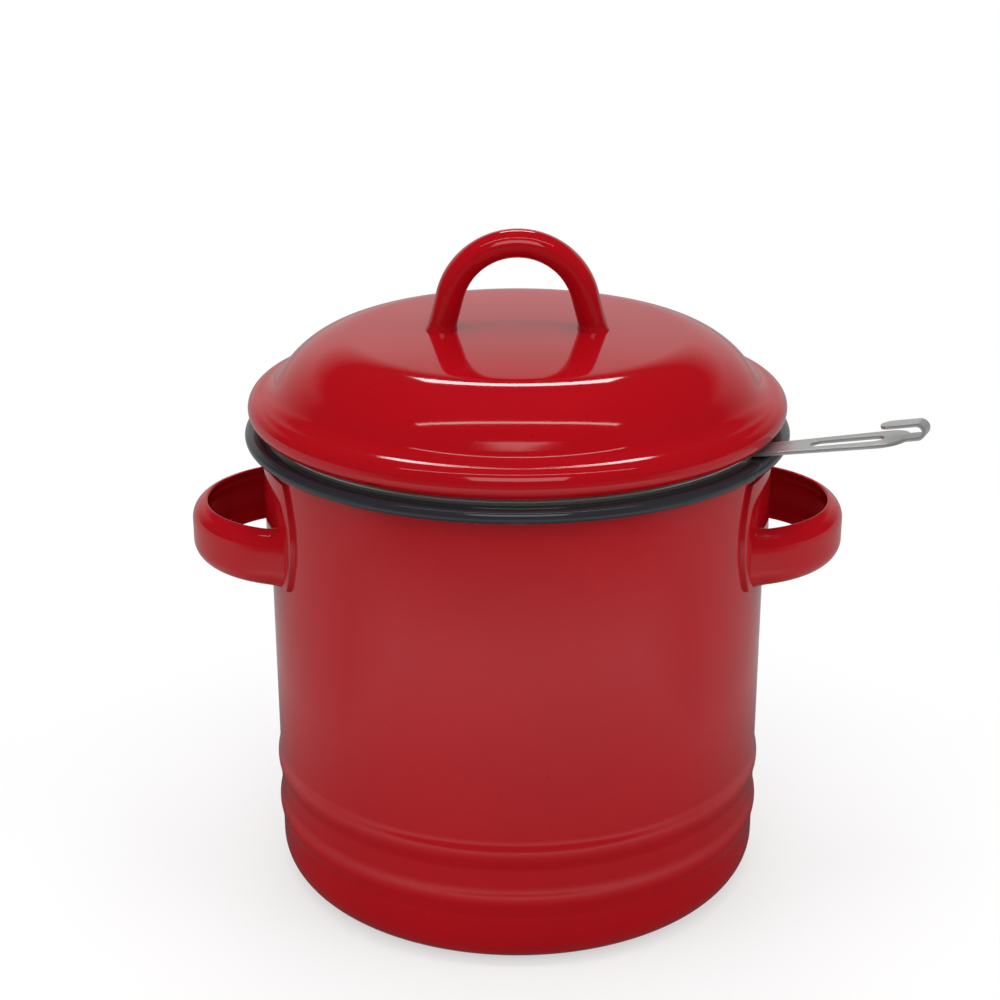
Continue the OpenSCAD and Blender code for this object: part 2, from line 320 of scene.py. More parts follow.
class Wiring:
    """Adds nodes to a tree and links them."""

    def __init__(self, tree: bpy.types.NodeTree) -> None:
        """Takes the tree that the nodes go into."""
        self.tree = tree

    def add(self, kind: str, inputs: dict | None = None, **settings: object) -> bpy.types.Node:
        """Adds one node.

        Args:
            kind: Type name of the node.
            inputs: Values or sockets for its inputs, by name or number.
            **settings: Properties of the node.

        Returns:
            The new node.
        """
        node = self.tree.nodes.new(kind)
        for name, value in settings.items():
            setattr(node, name, value)
        for name, value in (inputs or {}).items():
            socket = node.inputs[name]
            if isinstance(value, Socket):
                self.tree.links.new(value, socket)
            else:
                socket.default_value = (*value[:3], 1.0) if socket.type == "RGBA" else value
        return node

    def math(self, operation: str, first: object, second: object = 0.0) -> Socket:
        """Adds a Math node and gives its result."""
        return self.add(
            "ShaderNodeMath", {0: first, 1: second}, operation=operation).outputs[0]

    def blend(self, share: object, first: object, second: object) -> Socket:
        """Mixes two colours by a share and gives the result."""
        return self.add(
            "ShaderNodeMix", {"Factor": share, 6: first, 7: second}, data_type="RGBA").outputs[2]

    def noise(self, vector: object, scale: object, detail: float = 2.0) -> Socket:
        """Adds a noise and gives its value, about 0.5 on average."""
        return self.add(
            "ShaderNodeTexNoise", {"Vector": vector, "Scale": scale, "Detail": detail}).outputs[0]

    def span(
        self, value: object, low: float, high: float, to_low: float, to_high: float,
    ) -> Socket:
        """Maps a value from one range to another, held at both ends."""
        return self.add("ShaderNodeMapRange", {
            "Value": value, "From Min": low, "From Max": high, "To Min": to_low,
            "To Max": to_high}).outputs[0]

    def split(self, vector: Socket) -> tuple[Socket, ...]:
        """Gives the X, Y and Z of a vector."""
        return tuple(self.add("ShaderNodeSeparateXYZ", {0: vector}).outputs)

    def length(self, vector: Socket) -> Socket:
        """Gives the length of a vector."""
        return self.add(
            "ShaderNodeVectorMath", {0: vector}, operation="LENGTH").outputs["Value"]


class Effect:
    """Shader node group that several finishes share."""

    KINDS = {"Vector": "Vector", "Colour": "Color", "Deep Colour": "Color"}

    def __init__(self, name: str, inputs: tuple[str, ...], outputs: tuple[str, ...]) -> None:
        """Makes the empty group.

        Args:
            name: Name of the group.
            inputs: Names of its inputs, which are plain values unless KINDS says otherwise.
            outputs: Names of its outputs, likewise.
        """
        self.tree = bpy.data.node_groups.new(name, "ShaderNodeTree")
        for direction, sockets in (("INPUT", inputs), ("OUTPUT", outputs)):
            for socket in sockets:
                self.tree.interface.new_socket(
                    name=socket, in_out=direction,
                    socket_type="NodeSocket" + self.KINDS.get(socket, "Float"))
        self.wiring = Wiring(self.tree)
        self.source = self.wiring.add("NodeGroupInput").outputs
        self.sink = self.wiring.add("NodeGroupOutput").inputs

    def put_out(self, name: str, socket: Socket) -> None:
        """Links a result to one of the group's outputs."""
        self.tree.links.new(socket, self.sink[name])

    def place(self, wiring: Wiring, inputs: dict) -> dict[str, Socket]:
        """Places the group in a material and gives its outputs by name."""
        node = wiring.add("ShaderNodeGroup", inputs, node_tree=self.tree)
        return {socket.name: socket for socket in node.outputs}


class MaterialWiring(Wiring):
    """Wiring of a new material, with its output."""

    def __init__(self, name: str) -> None:
        """Makes the empty material, and gives it Object coordinates.

        Args:
            name: Name of the material.
        """
        self.material = bpy.data.materials.new(name)
        self.material.use_nodes = True
        self.material.node_tree.nodes.clear()
        super().__init__(self.material.node_tree)
        self.place = self.add("ShaderNodeTexCoord").outputs["Object"]

    def finish(self, shader: bpy.types.Node) -> Material:
        """Links a shader to the material's output and gives the material."""
        self.add("ShaderNodeOutputMaterial", {"Surface": shader.outputs[0]})
        return self.material


@dataclass(frozen=True)
class SharedEffects:
    """The node groups that the finishes share."""

    ripple: Effect
    drift: Effect
    specks: Effect
    lines: Effect

    @classmethod
    def build(cls) -> "SharedEffects":
        """Builds each group once.

        Returns:
            The four groups.
        """
        ripple = Effect(
            "surface_ripple", ("Vector", "Wave Scale", "Peel Scale", "Peel Share"), ("Height",))
        wires, source = ripple.wiring, ripple.source
        wave = wires.noise(source["Vector"], source["Wave Scale"], 1.0)
        peel = wires.noise(source["Vector"], source["Peel Scale"], 1.5)
        peel = wires.math("MULTIPLY", peel, source["Peel Share"])
        ripple.put_out("Height", wires.math("ADD", wave, peel))

        drift = Effect(
            "tone_drift", ("Vector", "Colour", "Deep Colour", "Scale", "Share"),
            ("Colour", "Mask"))
        wires, source = drift.wiring, drift.source
        mask = wires.span(
            wires.noise(source["Vector"], source["Scale"], 3.0), 0.32, 0.7, 0.0, 1.0)
        share = wires.math("MULTIPLY", mask, source["Share"])
        drift.put_out("Colour", wires.blend(share, source["Colour"], source["Deep Colour"]))
        drift.put_out("Mask", mask)

        specks = Effect("fine_specks", ("Vector", "Scale", "Size"), ("Mask",))
        wires, source = specks.wiring, specks.source
        cell = wires.add(
            "ShaderNodeTexVoronoi", {"Vector": source["Vector"], "Scale": source["Scale"]})
        near = wires.math("LESS_THAN", cell.outputs["Distance"], source["Size"])
        chance = wires.add("ShaderNodeSeparateColor", {0: cell.outputs["Color"]}).outputs[0]
        rare = wires.math("GREATER_THAN", chance, 0.86)
        specks.put_out("Mask", wires.math("MULTIPLY", near, rare))

        lines = Effect("turned_lines", ("Vector", "Scale"), ("Height",))
        wires, source = lines.wiring, lines.source
        x, y, z = wires.split(source["Vector"])
        square = wires.math("ADD", wires.math("MULTIPLY", x, x), wires.math("MULTIPLY", y, y))
        flat = wires.add("ShaderNodeCombineXYZ", {0: wires.math("SQRT", square), 1: z})
        lines.put_out("Height", wires.noise(flat.outputs[0], source["Scale"], 3.0))
        return cls(ripple, drift, specks, lines)


@dataclass(frozen=True)
class Finish:
    """Finish whose tone drifts and whose surface has slow waves.

    Attributes:
        name: Name of the material.
        colour: Main colour.
        deep: Colour of its thinner or duller patches.
        gloss: Lowest roughness of the surface.
        wave: Depth of the slow waves, in millimetres.
        metal: Share of the surface that reflects as clean metal.
    """

    name: str
    colour: Colour
    deep: Colour
    gloss: float
    wave: float
    metal: float = 0.0

    DRIFT_SCALE: ClassVar[float]
    DRIFT_SHARE: ClassVar[float]
    WAVE_SCALE: ClassVar[float]
    PEEL_SCALE: ClassVar[float]
    PEEL_SHARE: ClassVar[float]
    UNEVEN: ClassVar[float]
    IOR: ClassVar[float]

    def tone(
        self, wiring: MaterialWiring, effects: SharedEffects, tone: Socket,
    ) -> Socket:
        """Gives the surface's colour from its drifting tone."""
        return tone

    def relief(
        self, wiring: MaterialWiring, effects: SharedEffects, height: Socket,
    ) -> Socket:
        """Gives the surface's height from its waves."""
        return height

    def make(self, effects: SharedEffects) -> Material:
        """Builds the material.

        Args:
            effects: The shared node groups.

        Returns:
            The finished material.
        """
        wiring = MaterialWiring(self.name)
        drift = effects.drift.place(wiring, {
            "Vector": wiring.place, "Colour": self.colour, "Deep Colour": self.deep,
            "Scale": self.DRIFT_SCALE, "Share": self.DRIFT_SHARE})
        ripple = effects.ripple.place(wiring, {
            "Vector": wiring.place, "Wave Scale": self.WAVE_SCALE,
            "Peel Scale": self.PEEL_SCALE, "Peel Share": self.PEEL_SHARE})
        rough = wiring.span(drift["Mask"], 0.0, 1.0, self.gloss, self.gloss + self.UNEVEN)
        bump = wiring.add("ShaderNodeBump", {
            "Strength": 1.0, "Distance": self.wave * MM,
            "Height": self.relief(wiring, effects, ripple["Height"])})
        return wiring.finish(wiring.add("ShaderNodeBsdfPrincipled", {
            "Base Color": self.tone(wiring, effects, drift["Colour"]), "Roughness": rough,
            "Metallic": self.metal, "IOR": self.IOR, "Normal": bump.outputs[0]}))


@dataclass(frozen=True)
class EnamelFinish(Finish):
    """Fired glossy enamel over sheet steel.

    Attributes:
        edge: Colour along sharp edges, where enamel draws back.
    """

    edge: Colour = (0.0, 0.0, 0.0)

    DRIFT_SCALE = 16.0
    DRIFT_SHARE = 0.65
    WAVE_SCALE = 42.0
    PEEL_SCALE = 240.0
    PEEL_SHARE = 0.14
    UNEVEN = 0.035
    IOR = 1.52

    def tone(
        self, wiring: MaterialWiring, effects: SharedEffects, tone: Socket,
    ) -> Socket:
        """Darkens the sharp edges and rare fine specks.

        Args:
            wiring: The material's wiring.
            effects: The shared node groups.
            tone: The drifting tone.

        Returns:
            The surface's colour.
        """
        specks = effects.specks.place(
            wiring, {"Vector": wiring.place, "Scale": 260.0, "Size": 0.075})
        bend = wiring.add("ShaderNodeNewGeometry").outputs["Pointiness"]
        tone = wiring.blend(wiring.span(bend, 0.53, 0.62, 0.0, 0.8), tone, self.edge)
        return wiring.blend(wiring.math("MULTIPLY", specks["Mask"], 0.5), tone, self.edge)


@dataclass(frozen=True)
class SteelFinish(Finish):
    """Pressed stainless steel, from mirror polish to satin.

    Attributes:
        lines: Depth of the fine lines left by turning and polishing, in millimetres.
    """

    lines: float = 0.003

    DRIFT_SCALE = 30.0
    DRIFT_SHARE = 0.8
    WAVE_SCALE = 60.0
    PEEL_SCALE = 900.0
    PEEL_SHARE = 0.01
    UNEVEN = 0.06
    IOR = 1.5

    def relief(
        self, wiring: MaterialWiring, effects: SharedEffects, height: Socket,
    ) -> Socket:
        """Adds the fine lines to the waves."""
        turned = effects.lines.place(wiring, {"Vector": wiring.place, "Scale": 2600.0})
        return wiring.math(
            "ADD", height, wiring.math("MULTIPLY", turned["Height"], self.lines / self.wave))


class Finishes:
    """Every material of the keeper."""

    def __init__(self) -> None:
        """Builds the five finishes over one set of shared effects."""
        effects = SharedEffects.build()
        self.red = EnamelFinish(
            "red_enamel", (0.36, 0.0026, 0.0068), (0.30, 0.0021, 0.0056), gloss=0.05,
            wave=0.055, edge=(0.11, 0.003, 0.004)).make(effects)
        self.black = EnamelFinish(
            "black_enamel", (0.024, 0.0245, 0.029), (0.016, 0.017, 0.022), gloss=0.09,
            wave=0.055, edge=(0.04, 0.04, 0.04)).make(effects)
        self.polished = SteelFinish(
            "polished_steel", (0.86, 0.86, 0.80), (0.78, 0.78, 0.73), gloss=0.08, wave=0.34,
            metal=0.92, lines=0.002).make(effects)
        self.brushed = SteelFinish(
            "brushed_steel", (0.90, 0.89, 0.86), (0.82, 0.81, 0.78), gloss=0.34, wave=0.03,
            metal=0.4).make(effects)
        self.satin = SteelFinish(
            "satin_steel", (0.60, 0.60, 0.59), (0.50, 0.50, 0.49), gloss=0.28, wave=0.05,
            metal=0.8).make(effects)
        self.enamels = (self.red, self.black)


# ---------------- pot


@dataclass
class PotAssembly:
    """Pot with its rolled lip, two pressed ridges and two loop handles."""

    finishes: Finishes
    sheet: float = 0.9
    height: float = 124.0
    radius: float = 64.7
    draft: float = 0.5
    corner: float = 9.0
    lip_height: float = 3.4
    lip_reach: float = 5.3
    lip_bend: float = 0.9
    lip_gap: float = 0.4
    ridges: tuple[float, float] = (19.0, 32.0)
    ridge_width: float = 9.0
    ridge_out: float = 0.7
    ridge_steps: int = 24
    rows: tuple[float, ...] = (50.0, 65.0, 80.0, 95.0, 110.0, 119.0)
    loop_z: float = 95.5
    loop_height: float = 15.5
    loop_radius: float = 30.0
    loop_reach: float = 20.3
    loop_depth: float = 3.5
    loop_bend: float = 5.0
    plate_radius: float = 34.0
    plate_low: float = 88.25
    plate_top: float = 116.6
    plate_strip: float = 1.5
    plate_rounding: float = 0.55

    def wall(self, z: float) -> float:
        """Shapes the wall: a slight draft, and two pressed ridges.

        Args:
            z: Height on the wall.

        Returns:
            The outer radius at that height.
        """
        out = self.radius - self.draft + self.draft * z / self.height
        for middle in self.ridges:
            if abs(z - middle) < self.ridge_width / 2:
                swing = math.cos(math.tau * (z - middle) / self.ridge_width)
                out += self.ridge_out * (1 + swing) / 2
        return out

    def heights(self) -> list[float]:
        """Spaces the wall's points, which stand closer on the ridges.

        Returns:
            The heights of the points, from below upwards.
        """
        spots = [self.corner]
        for middle in self.ridges:
            low = middle - self.ridge_width / 2
            spots += [
                low + self.ridge_width * step / self.ridge_steps
                for step in range(self.ridge_steps + 1)]
        return spots + list(self.rows)

    def is_red(self, face: BMFace) -> bool:
        """Tells the pot's red outside from its black inside and lip.

        Args:
            face: A face of the pot.

        Returns:
            Whether the face carries the red enamel.
        """
        middle = face.calc_center_median() / MM
        reach = math.hypot(middle.x, middle.y)
        if middle.z > self.height - self.lip_height + 0.15:
            return False
        centre = self.wall(self.corner) - self.corner
        if middle.z < self.corner:
            if reach < centre:
                return middle.z < self.sheet / 2
            bend = math.hypot(reach - centre, middle.z - self.corner)
            return bend > self.corner - self.sheet / 2
        wall = self.wall(middle.z)
        return wall - self.sheet / 2 < reach < wall + 0.2

    def build_pot(self) -> None:
        """Builds the drawn pot: base, wall, ridges, roll of the lip and inner wall."""
        base = self.wall(self.corner) - self.corner
        roll_x = self.radius + self.lip_reach - self.lip_height / 2
        roll_z = self.height - self.lip_height / 2
        lip_low = self.height - self.lip_height
        edge = self.sheet / 2
        pen = Outline(0.0, 0.0).line(base, 0.0, 8).arc(base, self.corner, 90.0, 14)
        for z in self.heights()[1:]:
            pen.line(self.wall(z), z)
        pen.line(self.radius, self.height - 2 * self.sheet)
        pen.arc(self.radius + self.sheet, self.height - 2 * self.sheet, -90.0, 5)
        pen.line(roll_x, self.height - self.sheet)
        pen.arc(roll_x, roll_z, -180.0, 10)
        pen.line(self.radius + self.lip_gap + edge, lip_low + self.sheet)
        pen.arc(self.radius + self.lip_gap + edge, lip_low + edge, 180.0, 6)
        pen.line(roll_x, lip_low, 2)
        pen.arc(roll_x, roll_z, 180.0, 18)
        pen.line(self.radius, self.height, 3)
        pen.arc(self.radius, self.height - self.lip_bend, 90.0, 6)
        for z in reversed(self.heights()):
            pen.line(self.wall(z) - self.sheet, z)
        pen.arc(base, self.corner, -90.0, 14).line(0.0, self.sheet, 8)
        mesh = pen.revolve()
        paint(mesh, self.is_red)
        add_piece(
            "enamelled_pot", mesh, self.finishes.enamels, Body.POT, Slot.POT, "pot_body")

    def channel(self) -> BMesh:
        """Shapes the channel of the right-hand loop, open towards the wall.

        Returns:
            The closed channel, with its ends inside the pot's wall.
        """
        bend, half = self.loop_bend, self.sheet / 2
        middle = self.loop_radius - bend
        low = self.loop_z - self.loop_height / 2 + bend
        top = low + self.loop_height - 2 * bend
        turn = math.degrees(math.acos(1.0 - self.loop_depth / bend))
        end_x = middle + (bend - half) * math.cos(math.radians(turn))
        end_z = (bend - half) * math.sin(math.radians(turn))
        pen = Outline(
            middle + bend * math.cos(math.radians(turn)),
            low - bend * math.sin(math.radians(turn)))
        pen.arc(middle, low, turn, 12).line(self.loop_radius, top, 6)
        pen.arc(middle, top, turn, 12).arc(end_x, top + end_z, 180.0, 6)
        pen.arc(middle, top, -turn, 10).step(0.0, low - top, 6)
        pen.arc(middle, low, -turn, 10).arc(end_x, low - end_z, 180.0, 6)
        mesh = pen.mesh
        merge(mesh)
        rotate(mesh, -90.0, "Z")
        sweep(mesh, UP, math.pi, 96)
        centre = self.radius + self.loop_reach - self.loop_radius
        inside = self.wall(self.loop_z) - self.sheet / 2
        for vert in mesh.verts:
            reach = vert.co.xy.length / MM
            end = math.acos((inside ** 2 - centre ** 2 - reach ** 2) / (2 * centre * reach))
            angle = math.atan2(vert.co.y, vert.co.x) * end / (math.pi / 2)
            vert.co.x, vert.co.y = reach * MM * math.cos(angle), reach * MM * math.sin(angle)
        shift(mesh, x=centre)
        cap_holes(mesh)
        tidy(mesh)
        flare(
            mesh, lambda place: place.xy.length / MM - self.radius - self.sheet,
            lambda place: Vector((place.x, place.y, 0.0)).normalized(), reach=2.6, swell=0.5)
        return mesh

    def plate(self) -> BMesh:
        """Shapes the plate between the right-hand loop and the wall.

        Returns:
            The closed plate, with its back inside the pot's wall.
        """
        mesh = bmesh.new()
        bmesh.ops.create_circle(mesh, cap_ends=True, segments=160, radius=self.plate_radius * MM)
        rotate(mesh, 90.0, "Y")
        shift(mesh, z=(self.plate_low + self.plate_top) / 2)
        for height, side in ((self.plate_low, -1.0), (self.plate_top, 1.0)):
            bmesh.ops.bisect_plane(
                mesh, geom=everything(mesh), dist=1e-7, plane_co=(0.0, 0.0, height * MM),
                plane_no=(0.0, 0.0, side), clear_outer=True)
        slice_along(mesh, 1, [self.plate_strip * step for step in range(-22, 23)])
        front = mesh.faces[:]
        bmesh.ops.extrude_face_region(mesh, geom=front)
        back = {vert for face in mesh.faces[:] for vert in face.verts} - {
            vert for face in front for vert in face.verts}
        outer, inner = self.radius + self.sheet, self.wall(self.loop_z) - self.sheet / 2
        for vert in mesh.verts:
            reach = inner if vert in back else outer
            vert.co.x = math.sqrt((reach * MM) ** 2 - vert.co.y ** 2)
        tidy(mesh)
        rim = [
            edge for edge in mesh.edges
            if len(edge.link_faces) == 2 and edge.calc_face_angle(0.0) > RIM_ANGLE
            and all(vert.co.xy.length > (outer - 0.01) * MM for vert in edge.verts)]
        round_edges(mesh, rim, self.plate_rounding, 4)
        return mesh

    def build_loop(self, side: int) -> None:
        """Builds one loop handle with its plate.

        Args:
            side: 1 for the right-hand handle and -1 for the left-hand one.
        """
        word = "right" if side > 0 else "left"
        mesh = self.channel()
        join(mesh, self.plate())
        if side < 0:
            bmesh.ops.scale(mesh, vec=(-1.0, 1.0, 1.0), verts=mesh.verts[:])
            bmesh.ops.recalc_face_normals(mesh, faces=mesh.faces[:])
        add_piece(
            f"{word}_loop_handle", mesh, (self.finishes.red,), Body.POT, Slot.LOOPS,
            f"{word}_side_handle")

    def build(self) -> None:
        """Builds the pot and both its handles."""
        self.build_pot()
        for side in (1, -1):
            self.build_loop(side)


# ---------------- strainer


@dataclass
class StrainerAssembly:
    """Pressed strainer: pan with its flange, perforated screen, and strap with its hook."""

    finishes: Finishes
    sheet: float = 0.5
    pot_height: float = 124.0
    seat: float = 125.6
    low: float = 106.1
    pan_radius: float = 61.6
    flange_radius: float = 65.4
    flange_edge: float = 0.9
    corner: float = 4.0
    under_bend: float = 0.4
    notch_gap: float = 0.3
    notch_depth: float = 0.7
    notch_roof: float = 0.05
    ledge_inner: float = 54.6
    screen_radius: float = 57.1
    screen_sheet: float = 0.4
    net_radius: float = 52.6
    net_pitch: float = 1.5
    net_web: float = 0.54
    strap_turn: float = -25.0
    strap_sheet: float = 0.8
    strap_rise: float = 13.0
    strap_bend_x: float = 65.7
    strap_fold: float = 1.0
    strap_strip: float = 0.9
    strap_rounding: float = 0.14
    root_width: float = 9.0
    tip_width: float = 12.5
    plate_length: float = 31.7
    slot_length: float = 18.5
    slot_width: float = 4.5
    leg_height: float = 12.5
    leg_bend: float = 1.0
    leg_slot_length: float = 6.0
    leg_slot_width: float = 3.0
    hook_width: float = 5.0
    hook_reach: float = 2.5
    hook_radius: float = 1.3
    hook_length: float = 9.0

    def build_pan(self) -> None:
        """Builds the pan: ledge, wall, and flange with its turned-down edge."""
        wall, flange, seat, bend = (
            self.pan_radius, self.flange_radius, self.seat, self.under_bend)
        under, floor = seat - self.sheet, self.low + self.corner
        centre, roll = wall - self.corner, flange - self.flange_edge
        pen = Outline(self.ledge_inner, self.low).line(centre, self.low, 3)
        pen.arc(centre, floor, 90.0, 12).line(wall, under - bend, 8)
        pen.arc(wall + bend, under - bend, -90.0, 4).line(roll, under, 3)
        pen.arc(roll, seat - self.flange_edge, -90.0, 5)
        pen.line(flange - self.sheet, self.pot_height).line(flange, self.pot_height)
        pen.line(flange, seat - self.flange_edge)
        pen.arc(roll, seat - self.flange_edge, 90.0, 8).line(wall + bend, seat, 3)
        pen.arc(wall + bend, seat - bend - self.sheet, 90.0, 6)
        pen.line(wall - self.sheet, floor, 8).arc(centre, floor, -90.0, 12)
        pen.line(self.ledge_inner, self.low + self.sheet, 3).close()
        mesh = pen.revolve(320)
        back = Matrix.Rotation(math.radians(-self.strap_turn), 3, "Z")
        clear, roof = self.root_width / 2 + self.notch_gap, under - self.notch_roof
        for vert in mesh.verts:
            place = back @ vert.co / MM
            if (place.x > flange - self.notch_depth and abs(place.y) < clear
                    and place.z < roof):
                vert.co.z = roof * MM
        add_piece(
            "strainer_pan", mesh, (self.finishes.polished,), Body.STRAINER, Slot.STEEL,
            "strainer_cup")

    def build_screen(self) -> None:
        """Builds the screen: one sheet with a staggered net of fine holes."""
        pitch, row_step = self.net_pitch, self.net_pitch * math.sin(math.radians(60.0))
        columns = int(self.net_radius / pitch) + 2
        rows = int(self.net_radius / row_step / 2) + 2
        mesh = bmesh.new()
        for row in (0, 1):
            bmesh.ops.create_circle(
                mesh, cap_ends=True, segments=6, radius=pitch / math.sqrt(3.0) * MM,
                matrix=Matrix.Translation((
                    pitch * (row / 2 - columns) * MM, row_step * (row - 2 * rows) * MM, 0.0)))
        for step, count in (((pitch, 0.0), 2 * columns), ((0.0, 2 * row_step), 2 * rows)):
            bmesh.ops.spin(
                mesh, geom=everything(mesh), angle=0.0, cent=ORIGIN, axis=UP, steps=count,
                use_duplicate=True, dvec=(step[0] * MM, step[1] * MM, 0.0))
        bmesh.ops.delete(mesh, context="FACES", geom=[
            face for face in mesh.faces
            if face.calc_center_median().length > self.net_radius * MM])
        merge(mesh, 1e-5)
        cells = mesh.faces[:]
        rim = [edge for edge in mesh.edges if edge.is_boundary]
        ring = bmesh.ops.create_circle(
            mesh, cap_ends=False, segments=200, radius=self.screen_radius * MM)["verts"]
        rim += list({edge for vert in ring for edge in vert.link_edges})
        bmesh.ops.triangle_fill(mesh, edges=rim, use_beauty=True, use_dissolve=False)
        bmesh.ops.recalc_face_normals(mesh, faces=mesh.faces[:])
        bmesh.ops.inset_individual(
            mesh, faces=cells, thickness=self.net_web / 2 * MM, depth=0.0)
        bmesh.ops.delete(mesh, geom=cells, context="FACES_ONLY")
        thicken(mesh, self.screen_sheet)
        bmesh.ops.recalc_face_normals(mesh, faces=mesh.faces[:])
        shift(mesh, z=self.low + self.sheet)
        add_piece(
            "fine_screen", mesh, (self.finishes.brushed,), Body.STRAINER, Slot.STEEL,
            "strainer_screen")

    def blank(self, sections: dict[str, float]) -> BMesh:
        """Cuts the strap's flat blank, with its two slots, before it is bent.

        Args:
            sections: Places along the blank, by name.

        Returns:
            The blank, with its length along X and its sheet round z = 0.
        """
        root, tip, tongue = self.root_width / 2, self.tip_width / 2, self.hook_width / 2
        end = sections["round_end"]
        lean = math.degrees(math.asin(tongue / tip))
        pen = Outline(0.0, -root).line(sections["plate"], -root).line(end, -tip)
        pen.arc(end, 0.0, 90.0 - lean, 10).line(sections["hook_end"] - tongue, -tongue)
        pen.arc(sections["hook_end"] - tongue, 0.0, 180.0, 12)
        pen.line(end + tip * math.cos(math.radians(lean)), tongue).arc(end, 0.0, 90.0 - lean, 10)
        pen.line(sections["plate"], root).line(0.0, root).close()
        mesh = pen.mesh
        leg_mid, reach = sections["leg_slot"], (self.leg_slot_length - self.leg_slot_width) / 2
        slots = (
            (leg_mid - reach, leg_mid + reach, self.leg_slot_width / 2),
            (end - self.slot_length + self.slot_width / 2, end - self.slot_width / 2,
             self.slot_width / 2))
        for start, stop, half in slots:
            hole = Outline(start, -half).line(stop, -half).arc(stop, 0.0, 180.0, 14)
            hole.line(start, half).arc(start, 0.0, 180.0, 14)
            merge(hole.mesh)
            join(mesh, hole.mesh)
        rotate(mesh, -90.0, "X")
        merge(mesh)
        bmesh.ops.triangle_fill(mesh, edges=mesh.edges[:], use_beauty=True, use_dissolve=False)
        return mesh

    def build_strap(self) -> None:
        """Builds the strap: cuts its blank, bends it, and gives it its place."""
        half, hook = self.strap_sheet / 2, self.hook_radius + self.strap_sheet / 2
        leg = self.leg_height - half - self.leg_bend
        level = leg + self.leg_bend * math.pi / 2
        rise = (
            level + self.strap_bend_x - self.strap_fold / 2
            - (self.pan_radius + half + self.leg_bend))
        plate = rise + self.strap_fold / 2
        hook_start = plate + self.plate_length + self.tip_width / 2 + self.hook_reach
        folds: list[tuple[float, float]] = []
        for start, length, turn, count in (
                (leg, level - leg, -90.0, 8), (rise, self.strap_fold, self.strap_rise, 4),
                (hook_start, math.pi * hook, 180.0, 18)):
            folds += [
                (start + length * (step + 0.5) / count, turn / count) for step in range(count)]
        mesh = self.blank({
            "leg_slot": self.leg_height / 2, "plate": plate,
            "round_end": plate + self.plate_length,
            "hook_end": hook_start + math.pi * hook + self.hook_length})
        slice_along(mesh, 0, [place for place, _ in folds])
        slice_along(mesh, 1, [self.strap_strip * step for step in range(-4, 5)])
        thicken(mesh, self.strap_sheet)
        shift(mesh, z=-half)
        tidy(mesh)
        rim = [
            edge for edge in mesh.edges
            if edge.calc_face_angle(0.0) > RIM_ANGLE
            and edge.verts[0].co.z * edge.verts[1].co.z > 0.0]
        round_edges(mesh, rim, self.strap_rounding, 2)
        along = {vert: vert.co.x / MM for vert in mesh.verts}
        for place, turn in sorted(folds, reverse=True):
            rotate(mesh, -turn, "Y", place, [
                vert for vert, reach in along.items() if reach > place + 0.001])
        rotate(mesh, -90.0, "Y")
        middle = self.pan_radius + half
        foot = self.seat - self.sheet - self.leg_height
        for vert, reach in along.items():
            share = min(max((level - reach) / (level - leg), 0.0), 1.0)
            sag = middle - math.sqrt(middle ** 2 - (vert.co.y / MM) ** 2)
            vert.co += Vector((middle - sag * share, 0.0, foot)) * MM
        rotate(mesh, self.strap_turn, "Z")
        bmesh.ops.recalc_face_normals(mesh, faces=mesh.faces[:])
        add_piece(
            "hooked_strap", mesh, (self.finishes.satin,), Body.STRAINER, Slot.STEEL,
            "strainer_handle", crease=50.0)

    def build(self) -> None:
        """Builds the pan, its screen and its strap."""
        self.build_pan()
        self.build_screen()
        self.build_strap()


# ---------------- lid


